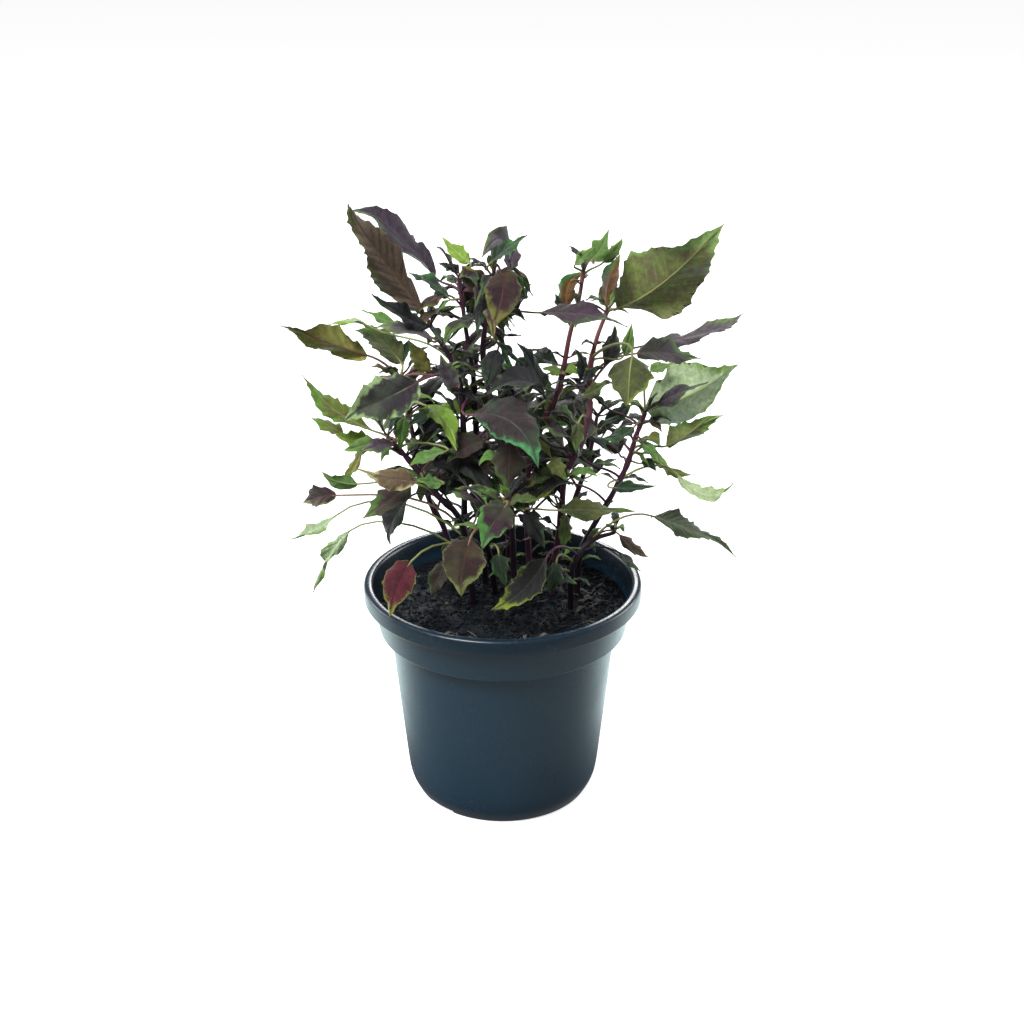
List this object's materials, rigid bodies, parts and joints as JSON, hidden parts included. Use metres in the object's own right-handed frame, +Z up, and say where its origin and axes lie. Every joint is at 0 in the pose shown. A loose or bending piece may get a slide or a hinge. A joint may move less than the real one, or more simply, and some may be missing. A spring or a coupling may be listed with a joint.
{
  "type": "potted coleus",
  "caption": "Coleus houseplant with toothed two-tone leaves on upright stems, growing in a round tapered nursery pot with a rolled rim and a stepped collar.",
  "frame": {"origin": "middle of the pot's underside, on the surface that the pot stands on", "axes": "+Z up along the pot's axis, +X to the right as seen from the front, +Y to the back"},
  "size_m": [0.2252, 0.1665, 0.3109],
  "materials": {
    "pot_plastic": "semi-matte moulded",
    "potting_soil": "matte",
    "coleus_leaf": "soft sheen"
  },
  "bodies": {
    "root": {"pot": "pot_plastic", "soil": "potting_soil", "stem_low_left": "coleus_leaf", "stem_high_left": "coleus_leaf", "stem_centre_left": "coleus_leaf", "stem_centre": "coleus_leaf", "stem_front": "coleus_leaf", "stem_centre_right": "coleus_leaf", "stem_high_right": "coleus_leaf", "stem_right": "coleus_leaf", "stem_low_right": "coleus_leaf", "stem_left_back": "coleus_leaf", "stem_back": "coleus_leaf", "stem_right_back": "coleus_leaf"}
  },
  "joints": []
}
